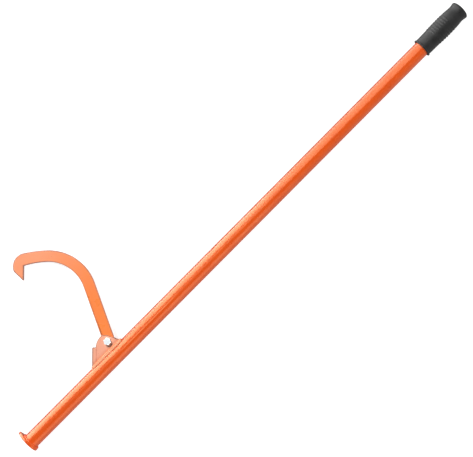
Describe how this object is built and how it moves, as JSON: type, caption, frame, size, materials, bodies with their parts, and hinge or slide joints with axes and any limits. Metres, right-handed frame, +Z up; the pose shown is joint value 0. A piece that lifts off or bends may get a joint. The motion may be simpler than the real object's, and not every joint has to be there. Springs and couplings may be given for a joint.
{
  "type": "log jack",
  "caption": "Long steel tube handle with a pointed toe plate and a rubber grip, and a curved pivoting hook in a welded clevis near the toe, for gripping and rolling logs.",
  "frame": {"origin": "centre of the toe plate's flat outer face, on the tube's axis", "axes": "+X along the tube from the toe plate to the grip, +Y to the side on which the hook stands out, +Z up, away from the ground that the tool lies on"},
  "size_m": [1.2204, 0.3002, 0.04],
  "materials": {
    "orange_paint": "glossy powder coat",
    "clevis_paint": "glossy powder coat",
    "hook_paint": "glossy powder coat",
    "zinc_plate": "bright zinc plating",
    "white_nylon": "natural nylon",
    "black_rubber": "matte moulded rubber"
  },
  "bodies": {
    "handle": {"handle_tube": "orange_paint", "toe_plate": "orange_paint", "toe_weld": "orange_paint", "stop_plate": "clevis_paint", "stop_plate_weld": "orange_paint", "near_cheek": "clevis_paint", "near_cheek_weld": "orange_paint", "far_cheek": "clevis_paint", "far_cheek_weld": "orange_paint", "pivot_bolt": "zinc_plate", "lock_nut": "zinc_plate", "nut_insert": "white_nylon", "grip": "black_rubber"},
    "hook": {"hook": "hook_paint"}
  },
  "joints": [
    {"name": "hook_pivot", "type": "hinge", "parent": "handle", "child": "hook", "pos_m": [0.2553, 0.0322, -0.00185], "axis": [0, 0.0573, 0.9984], "range_deg": [-65, 77]}
  ]
}
